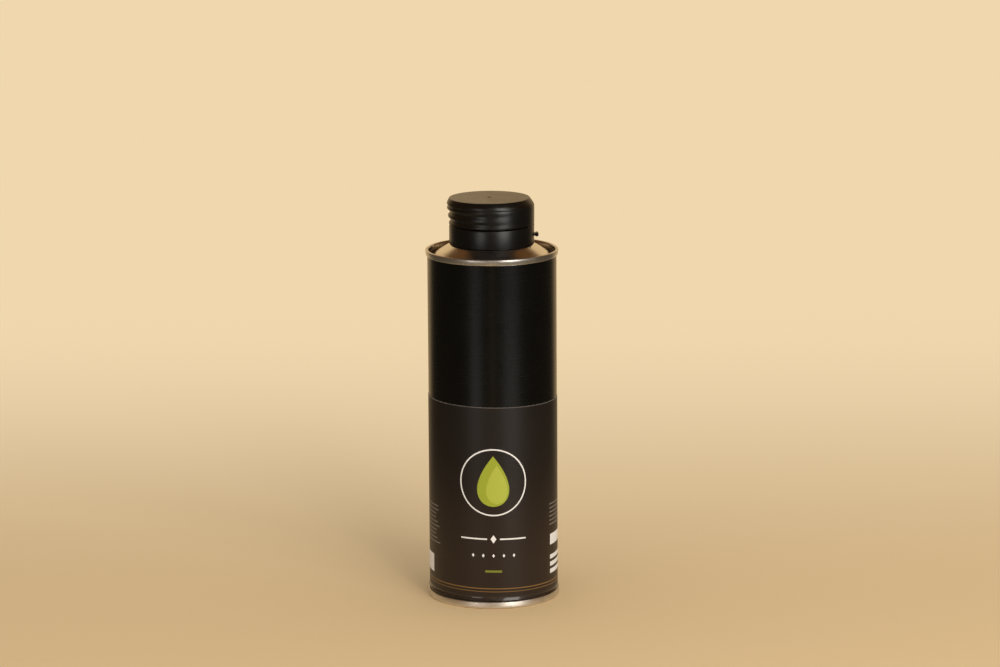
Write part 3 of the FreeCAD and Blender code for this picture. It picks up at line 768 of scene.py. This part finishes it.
def make_body_wall(lacquer):
    """The wall of the can, with a hook at each end."""
    fold = SEAM_ROOM + PLATE / 2
    corners = [
        (BODY_HOOK_RADIUS, FOOT_SEAM_HEIGHT - BODY_HOOK_ROOM, 0),
        (BODY_HOOK_RADIUS, fold, FOLD_ROUND),
        (WALL_RADIUS, fold, FOLD_ROUND),
        (WALL_RADIUS, CAN_TOP - fold, FOLD_ROUND),
        (BODY_HOOK_RADIUS, CAN_TOP - fold, FOLD_ROUND),
        (BODY_HOOK_RADIUS, CAN_TOP - TOP_SEAM_HEIGHT + BODY_HOOK_ROOM, 0),
    ]
    shape = turned(folded(corners))
    return shown(shape, "body_wall", [lacquer], "tin", ["can_body"])


def make_cone(tinplate):
    """The upper end: seam, countersink, rounded shoulder, neck and curl pressed from one sheet."""
    sink = CAN_TOP - SINK_DEPTH
    leg = CHUCK_RADIUS - SINK_WIDTH
    shoulder = CAN_TOP - SHOULDER_DROP
    neck = shoulder + (leg - NECK_RADIUS) * CONE_SLOPE
    curl_outside = NECK_RADIUS + 2 * CURL_ROUND
    curl_bottom = CURL_TOP - 2 * CURL_ROUND
    corners = seam_line(TOP_SEAM_HEIGHT, lambda depth: CAN_TOP - depth) + [
        (CHUCK_RADIUS, sink, SINK_WIDTH / 2),
        (leg, sink, SINK_WIDTH / 2),
        (leg, shoulder, SHOULDER_ROUND),
        (NECK_RADIUS, neck, NECK_ROUND),
        (NECK_RADIUS, CURL_TOP, CURL_ROUND),
        (curl_outside, CURL_TOP, CURL_ROUND),
        (curl_outside, curl_bottom, CURL_ROUND),
        (NECK_RADIUS + CURL_ROUND, curl_bottom, 0),
    ]
    return shown(turned(folded(corners)), "cone_sheet", [tinplate], "tin", ["top_cone"])


def make_foot(tinplate):
    """The lower end: seam, countersink and a panel with a step and a bead."""
    leg = CHUCK_RADIUS - FOOT_SINK_WIDTH
    upper_panel = FOOT_PANEL + FOOT_STEP
    corners = seam_line(FOOT_SEAM_HEIGHT, lambda depth: depth) + [
        (CHUCK_RADIUS, FOOT_SINK, FOOT_SINK_WIDTH / 2),
        (leg, FOOT_SINK, FOOT_SINK_WIDTH / 2),
        (leg, FOOT_PANEL, SEAM_ROUND),
        (FOOT_STEP_RADIUS + FOOT_STEP / 2, FOOT_PANEL, SEAM_ROUND),
        (FOOT_STEP_RADIUS - FOOT_STEP / 2, upper_panel, SEAM_ROUND),
        (FOOT_BEAD_RADIUS + FOOT_BEAD_WIDTH, upper_panel, SEAM_ROUND),
        (FOOT_BEAD_RADIUS, upper_panel - FOOT_BEAD_DEPTH, SEAM_ROUND),
        (FOOT_BEAD_RADIUS - FOOT_BEAD_WIDTH, upper_panel, SEAM_ROUND),
        (0, upper_panel, 0),
    ]
    return shown(turned(folded(corners)), "foot_sheet", [tinplate], "tin", ["bottom_end"])


def into_lap(angle):
    """How far an angle on the label has come into the lap at its outer end, from 0 to 1."""
    return min(max((angle - math.pi + LABEL_LAP / 2 + LABEL_LIFT) / LABEL_LIFT, 0), 1)


def make_label(printed, paper):
    """The label, wound a little crooked, with its lapped ends at the back."""
    shape = bmesh.new()
    bmesh.ops.create_grid(shape, x_segments=LABEL_COLUMNS, y_segments=LABEL_ROWS, size=1)
    for step in range(1, LABEL_FLARE_STEPS + 1):
        level = 2 * step / LABEL_FLARE_STEPS * LABEL_FLARE_HEIGHT / LABEL_HEIGHT - 1
        everything = shape.verts[:] + shape.edges[:] + shape.faces[:]
        bmesh.ops.bisect_plane(shape, geom=everything, plane_co=(0, level, 0), plane_no=(0, 1, 0))
    chart = shape.loops.layers.uv.new("label_map")
    turn = math.pi + LABEL_LAP / 2
    arc = turn * LABEL_RADIUS
    for face in shape.faces:
        for loop in face.loops:
            across, up = loop.vert.co.xy
            loop[chart].uv = (across * arc / LABEL_HEIGHT, (up + 1) / 2)
    for vert in shape.verts:
        across, up = vert.co.xy
        angle = across * turn
        lifted = into_lap(angle)
        pressed = into_lap(-angle)
        radius = LABEL_RADIUS + LABEL_PAPER * lifted * lifted * (3 - 2 * lifted)
        share = (up + 1) / 2
        flare = LABEL_FLARE * max(1 - share * LABEL_HEIGHT / LABEL_FLARE_HEIGHT, 0) ** 2
        radius += flare * (1 - pressed)
        slant = LABEL_TILT * across * arc
        bottom = max(LABEL_BOTTOM + slant, FOOT_SEAM_HEIGHT + LABEL_GAP)
        height = bottom + share * (label_high.z + slant - bottom)
        vert.co = (radius * math.sin(angle), -radius * math.cos(angle), height)
    bmesh.ops.recalc_face_normals(shape, faces=shape.faces[:])
    if shape.faces[0].normal.dot(shape.faces[0].calc_center_median() * Vector((1, 1, 0))) < 0:
        bmesh.ops.reverse_faces(shape, faces=shape.faces[:])
    bmesh.ops.solidify(shape, geom=shape.faces[:], thickness=LABEL_PAPER)
    for face in shape.faces:
        outwards = (face.calc_center_median() * Vector((1, 1, 0))).normalized()
        if abs(face.normal.dot(outwards)) < CUT_EDGE_SHARE:
            face.material_index = 1
    return shown(shape, "label_sheet", [printed, paper], "tin", ["wrap_label"])


def make_collar(plastic):
    """The collar that snaps over the curl, with its deck, hinge lugs and the recess for the lid's tongue."""
    bead_top = CURL_TOP - BEAD_DROP
    bead_inside = COLLAR_BORE - BEAD_REACH
    corners = [
        (COLLAR_RADIUS, COLLAR_BOTTOM, COLLAR_EDGE),
        (COLLAR_RADIUS, COLLAR_TOP, COLLAR_SHOULDER),
        (COLLAR_BORE, COLLAR_TOP, 0),
        (COLLAR_BORE, DECK_TOP, DECK_EDGE),
        (DECK_BORE, DECK_TOP, DECK_EDGE),
        (DECK_BORE, FLANGE_TOP, 0),
        (COLLAR_BORE, FLANGE_TOP, 0),
        (COLLAR_BORE, bead_top, 0),
        (bead_inside, bead_top, COLLAR_EDGE),
        (bead_inside, bead_top - BEAD_HEIGHT / 2, COLLAR_EDGE),
        (COLLAR_BORE, bead_top - BEAD_HEIGHT, 0),
        (COLLAR_BORE, COLLAR_BOTTOM + (COLLAR_RADIUS - COLLAR_BORE) * CONE_SLOPE, 0),
    ]
    shape = turned(rounded(corners))
    half = BARREL_LENGTH / 2
    arm = block((RECESS_FLOOR, -half, HINGE.z - WEB_HEIGHT / 2), (HINGE.x, half, HINGE.z + WEB_HEIGHT / 2))
    shape = carved(shape, arm, "UNION")
    shape = carved(shape, rod(HINGE, BARREL_RADIUS, BARREL_LENGTH, BARREL_EDGE), "UNION")
    recess_half = TONGUE_WIDTH / 2 + TONGUE_GAP
    recess = block(
        (RECESS_FLOOR, -recess_half, HINGE.z - RECESS_DROP),
        (HINGE.x + BARREL_RADIUS + OVERRUN, recess_half, COLLAR_TOP + OVERRUN),
    )
    shape = carved(shape, recess, "DIFFERENCE")
    shape = carved(shape, rod(HINGE, PIN_BORE, BARREL_LENGTH + OVERRUN), "DIFFERENCE")
    return shown(shape, "collar_shell", [plastic], "tin", ["closure_collar"])


def make_spout(plastic):
    """The pouring insert: flange, skirt in the neck, drip well with its drain, and the flared spout."""
    outside = SPOUT_BORE + SPOUT_WALL
    lip = SPOUT_BORE + LIP_REACH
    well = FLANGE_TOP - WELL_DEPTH
    corners = [
        (SPOUT_BORE, well - WELL_FLOOR, MOULD_EDGE),
        (SPOUT_BORE, spout_high.z, LIP_FLARE),
        (lip, spout_high.z, LIP_EDGE),
        (lip, spout_high.z - SPOUT_WALL, LIP_EDGE),
        (outside, spout_high.z - SPOUT_WALL, LIP_REACH - SPOUT_WALL - LIP_EDGE),
        (outside, well, MOULD_EDGE),
        (SKIRT_BORE, well, MOULD_EDGE),
        (SKIRT_BORE, FLANGE_TOP, MOULD_EDGE),
        (FLANGE_RADIUS, FLANGE_TOP, MOULD_EDGE),
        (FLANGE_RADIUS, gasket_high.z, MOULD_EDGE),
        (SKIRT_RADIUS, gasket_high.z, 0),
        (SKIRT_RADIUS, spout_low.z, MOULD_EDGE),
        (SKIRT_BORE, spout_low.z, MOULD_EDGE),
        (SKIRT_BORE, well - WELL_FLOOR, MOULD_EDGE),
    ]
    shape = turned(rounded(corners))
    drain = bmesh.new()
    place = Matrix.Translation(((outside + SKIRT_BORE) / 2, 0, well - WELL_FLOOR / 2))
    bmesh.ops.create_cone(drain, cap_ends=True, cap_tris=False, segments=BARREL_STEPS, radius1=DRAIN_RADIUS,
                          radius2=DRAIN_RADIUS, depth=WELL_FLOOR + OVERRUN, matrix=place)
    shape = carved(shape, drain, "DIFFERENCE")
    return shown(shape, "spout_insert", [plastic], "tin", ["pour_spout"])


# Pieces of the lid


def lay_ring(verts, thumb, hinge, thumb_level, hinge_level, fade=1.0):
    """Move a loop of points to its own reach and level on the thumb side and on the hinge side."""
    for vert in verts:
        way = vert.co.xy.normalized()
        share = max((1 - way.x) / 2, 0) ** fade
        reach = hinge + (thumb - hinge) * share
        vert.co = (reach * way.x, reach * way.y, hinge_level + (thumb_level - hinge_level) * share)


def grown_ring(shape, edges):
    """Draw a loop of edges out into a next loop, and give its points and edges."""
    grown = bmesh.ops.extrude_edge_only(shape, edges=edges)["geom"]
    verts = [item for item in grown if isinstance(item, bmesh.types.BMVert)]
    loop = set(verts)
    sides = [item for item in grown if isinstance(item, bmesh.types.BMEdge)]
    return verts, [side for side in sides if loop.issuperset(side.verts)]


def make_lid(plastic):
    """The flip lid: ribs that fade towards the hinge, a chamfered crown, the boss and the hinge's tongue."""
    shape = bmesh.new()
    verts = bmesh.ops.create_circle(shape, cap_ends=True, radius=1, segments=TURN_STEPS)["verts"]
    edges = shape.edges[:]
    rings = []
    for thumb_out, hinge_out, thumb_rise, hinge_rise, rounding, fade in reversed(LID_ROWS):
        if rings:
            verts, edges = grown_ring(shape, edges)
        reaches = (COLLAR_RADIUS + thumb_out, COLLAR_RADIUS + hinge_out)
        lay_ring(verts, *reaches, LID_BOTTOM + thumb_rise, LID_BOTTOM + hinge_rise, fade)
        rings.append((edges, rounding))
    inside = [
        (LID_BORE, LID_BOTTOM),
        (LID_BORE, LID_TOP - LID_CORNER_DROP),
        (LID_BORE - LID_WALL, LID_CEILING),
        (BOSS_RADIUS, LID_CEILING),
        (BOSS_RADIUS, BOSS_LEVEL),
    ]
    for radius, level in inside:
        verts, edges = grown_ring(shape, edges)
        lay_ring(verts, radius, radius, level, level)
    bmesh.ops.contextual_create(shape, geom=edges)
    cleaned(shape)
    for edges, rounding in reversed(rings):
        softened(shape, [edge for edge in edges if edge.is_valid], rounding)
    crown = max(shape.faces, key=lambda face: face.calc_center_median().z)
    crown_reach = COLLAR_RADIUS + sum(LID_ROWS[-1][:2]) / 2
    gate_room = crown_reach - CROWN_ROUND - CROWN_SUPPORT - GATE_RADIUS
    insets = [
        (CROWN_SUPPORT, 0),
        (gate_room, 0),
        (CROWN_SUPPORT, 0),
        (GATE_SLOPE, GATE_DEPTH),
        (CROWN_SUPPORT, 0),
    ]
    for width, sink in insets:
        bmesh.ops.inset_region(shape, faces=[crown], thickness=width, depth=-sink)
    half = TONGUE_WIDTH / 2
    tongue = block(
        (RECESS_FLOOR + TONGUE_GAP, -half, HINGE.z - WEB_HEIGHT / 2),
        (COLLAR_RADIUS, half, LID_BOTTOM + LID_WALL),
        BARREL_EDGE,
    )
    shape = carved(shape, tongue, "UNION")
    arm = block(
        (COLLAR_RADIUS - LID_WALL / 2, -half, HINGE.z - WEB_HEIGHT / 2),
        (HINGE.x, half, HINGE.z + WEB_HEIGHT / 2),
    )
    shape = carved(shape, arm, "UNION")
    shape = carved(shape, rod(HINGE, BARREL_RADIUS, TONGUE_WIDTH, BARREL_EDGE), "UNION")
    shape = carved(shape, rod(HINGE, PIN_BORE, TONGUE_WIDTH + OVERRUN), "DIFFERENCE")
    return shown(shape, "lid_shell", [plastic], "lid", ["flip_lid"])


def make_seal(plastic):
    """The soft pad under the boss, with a low plug that dips into the spout."""
    radius = seal_high.x
    face = seal_low.z + PLUG_DEPTH
    corners = [
        (0, seal_high.z, 0),
        (radius, seal_high.z, MOULD_EDGE),
        (radius, face, MOULD_EDGE),
        (PLUG_RADIUS, face, MOULD_EDGE),
        (PLUG_END_RADIUS, seal_low.z, 2 * MOULD_EDGE),
        (0, seal_low.z, 0),
    ]
    return shown(turned(rounded(corners)), "seal_pad", [plastic], "lid", ["lid_seal"])


def dress(node, finish):
    """Give a node that stays as it is its finish."""
    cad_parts[node].data.materials.clear()
    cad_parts[node].data.materials.append(finish)


# Floor, lights and camera

# How far the floor reaches, where painted light brightens its colour, where the eye sees it fade into the
# backdrop and where a gloss does, and how far to the sides a gloss sees the backdrop
FLOOR_REACH = 0.34
FLOOR_SIDE = 0.62
FLOOR_BACK = 4.0
FLOOR_FADE_SHARE = 0.55
FLOOR_NEAR = -0.05
FLOOR_FAR = 0.65
FADE_NEAR = -0.02
FADE_FAR = 0.60
MIRROR_NEAR = 0.07
MIRROR_FAR = 0.28
SIDE_LEAST = 0.02
SIDE_NEAR = 0.45
SIDE_FAR = 1.20
FLOOR_COLOR = tint(0.800, 0.560, 0.292)
FLOOR_FAR_COLOR = tint(0.980, 0.750, 0.455)
FRONT_COLOR = tint(0.062, 0.050, 0.030)
BACKDROP_COLOR = tint(0.871, 0.679, 0.423)
GLOSS_COLOR = tint(0.800, 0.560, 0.290)
ROOM_COLOR = tint(0.120, 0.052, 0.013)
CEILING_COLOR = tint(0.010, 0.008, 0.007)
WORLD_COLOR = tint(1.0, 1.0, 1.0)
WORLD_STRENGTH = 0.60

# Heights, on a sphere of radius 1 round the tin, between which a gloss sees the backdrop end, the ceiling
# start and the dark front end
BACKDROP_END = (0.43, 0.63)
CEILING_START = (0.80, 0.95)
FRONT_END = (-0.02, 0.10)

# Name, place, width, height, power in watts, colour and whether a gloss mirrors it
LIGHT_TARGET = (0, 0, 0.08)
LIGHTS = [
    ("key_light", (0.745, -1.145, 0.44), 0.68, 1.18, 9.2, (1.0, 0.97, 0.92), True),
    ("fill_light", (-0.67, -1.19, 0.06), 0.42, 0.46, 1.55, (1.0, 0.97, 0.92), True),
    ("shadow_light", (0.40, -1.28, 0.62), 0.30, 0.30, 4.8, (1.0, 0.98, 0.95), False),
]

CAMERA_PLACE = (0.00312, -1.5, 0.4148)
CAMERA_PITCH = math.radians(11.54)
CAMERA_ROLL = math.radians(-0.34)
CAMERA_LENS = 135.65
CAMERA_SENSOR = 36.0


def behind_tin(finish, across, along):
    """1 straight behind the tin, falling to 0 where the backdrop ends at the sides."""
    return 1 - finish.rise(abs(across) / along.most(SIDE_LEAST), SIDE_NEAR, SIDE_FAR)


def floor_finish():
    """Plain beige paper with painted light that brightens its colour towards the back; it keeps the shadow.
    """
    paper = Finish("floor_paper_finish")
    place = paper.place()
    across, along = paper.split(place)[:2]
    fibre = paper.noise(place, size=0.0012, detail=3.0)
    # Painted light: the paper's colour brightens from near to far
    sheet = paper.mix(paper.rise(along, FLOOR_NEAR, FLOOR_FAR), FLOOR_COLOR, FLOOR_FAR_COLOR)
    color = paper.mix(0.03 * fibre, sheet, tint(0.50, 0.36, 0.19))
    near = paper.node("ShaderNodeBsdfPrincipled",
                      sockets={"Base Color": color, "Roughness": 0.9, "Specular IOR Level": 0.1})
    camera, gloss = paper.rays()
    mirrored = paper.mix(behind_tin(paper, across, along), FRONT_COLOR, GLOSS_COLOR)
    far = paper.node("ShaderNodeEmission", sockets={"Color": paper.mix(camera, mirrored, BACKDROP_COLOR)})
    behind = paper.rise(along, FADE_NEAR, FADE_FAR)
    rim = paper.rise(abs(across), FLOOR_SIDE * FLOOR_FADE_SHARE, FLOOR_SIDE)
    rim = rim.most(paper.rise(-1 * along, FLOOR_REACH * FLOOR_FADE_SHARE, FLOOR_REACH))
    reach = (across * across + along * along).root()
    share = (camera * behind.most(rim)).most(gloss * paper.rise(reach, MIRROR_NEAR, MIRROR_FAR))
    both = paper.node("ShaderNodeMixShader", sockets={0: share, 1: near, 2: far})
    paper.node("ShaderNodeOutputMaterial", sockets={"Surface": both})
    return paper.material


def studio_world():
    """An even soft light. The eye sees the backdrop all round, and a gloss sees it only behind the tin."""
    room = Finish("studio", bpy.data.worlds)
    across, along, up = room.split(room.node("ShaderNodeTexCoord", output="Generated"))
    behind = behind_tin(room, across, along) * (1 - room.rise(up, *BACKDROP_END))
    above = room.mix(room.rise(up, *CEILING_START), ROOM_COLOR, CEILING_COLOR)
    dim = room.mix(room.rise(up, *FRONT_END), FRONT_COLOR, above)
    camera, gloss = room.rays()
    color = room.mix(camera, room.mix(behind, dim, GLOSS_COLOR), BACKDROP_COLOR)
    shown_room = room.node("ShaderNodeBackground", sockets={"Color": color})
    light = room.node("ShaderNodeBackground", sockets={"Color": WORLD_COLOR, "Strength": WORLD_STRENGTH})
    both = room.node("ShaderNodeMixShader", sockets={0: camera.most(gloss), 1: light, 2: shown_room})
    room.node("ShaderNodeOutputWorld", sockets={"Surface": both})
    return room.material


def make_floor():
    """A pale sheet under the tin that runs far back."""
    shape = bmesh.new()
    size = Vector((2 * FLOOR_SIDE, FLOOR_BACK + FLOOR_REACH, 1))
    place = Matrix.Translation((0, (FLOOR_BACK - FLOOR_REACH) / 2, 0)) @ Matrix.Diagonal((*size, 1))
    bmesh.ops.create_grid(shape, x_segments=1, y_segments=1, size=0.5, matrix=place)
    mesh = bpy.data.meshes.new("floor")
    shape.to_mesh(mesh)
    shape.free()
    mesh.materials.append(floor_finish())
    floor = bpy.data.objects.new("floor", mesh)
    bpy.context.scene.collection.objects.link(floor)


def make_lights():
    """Soft boxes in front, and the room."""
    for name, place, width, height, power, color, mirrored in LIGHTS:
        light = bpy.data.lights.new(name, "AREA")
        light.shape = "RECTANGLE"
        light.size = width
        light.size_y = height
        light.energy = power
        light.color = color
        lamp = bpy.data.objects.new(name, light)
        lamp.location = place
        lamp.rotation_euler = (Vector(LIGHT_TARGET) - Vector(place)).to_track_quat("-Z", "Y").to_euler()
        bpy.context.scene.collection.objects.link(lamp)
        lamp.visible_camera = False
        lamp.visible_glossy = mirrored
    bpy.context.scene.world = studio_world()


def make_camera():
    """A long lens a little above the tin, level but for a slight roll."""
    camera = bpy.data.cameras.new("camera")
    camera.lens = CAMERA_LENS
    camera.sensor_width = CAMERA_SENSOR
    ahead = Vector((0, math.cos(CAMERA_PITCH), -math.sin(CAMERA_PITCH)))
    level = Vector((1, 0, 0))
    above = level.cross(ahead)
    right = level * math.cos(CAMERA_ROLL) + above * math.sin(CAMERA_ROLL)
    top = above * math.cos(CAMERA_ROLL) - level * math.sin(CAMERA_ROLL)
    turn = Matrix((right, top, -ahead)).transposed().to_4x4()
    holder = bpy.data.objects.new("camera", camera)
    holder.matrix_world = Matrix.Translation(CAMERA_PLACE) @ turn
    bpy.context.scene.collection.objects.link(holder)
    bpy.context.scene.camera = holder


bpy.context.scene.view_settings.view_transform = "Standard"

tinplate = tinplate_finish()
black_plastic = black_plastic_finish()
spout_plastic = milky_plastic_finish("spout_plastic_finish", tint(0.80, 0.79, 0.74), tint(0.70, 0.69, 0.63))
seal_plastic = milky_plastic_finish("seal_plastic_finish", tint(0.78, 0.77, 0.70), tint(0.68, 0.66, 0.58))
compound = soft_ring_finish("sealing_compound_finish", tint(0.34, 0.32, 0.27), tint(0.24, 0.22, 0.18))

make_body_wall(lacquer_finish())
make_cone(tinplate)
make_foot(tinplate)
make_label(label_finish(), paper_finish())
make_collar(black_plastic)
make_spout(spout_plastic)
make_lid(black_plastic)
make_seal(seal_plastic)
dress("neck_gasket", soft_ring_finish("gasket_finish", tint(0.60, 0.57, 0.50), tint(0.48, 0.45, 0.38)))
dress("bottom_seam_compound", compound)
dress("top_seam_compound", compound)
dress("hinge_pin", pin_finish())

make_floor()
make_lights()
make_camera()
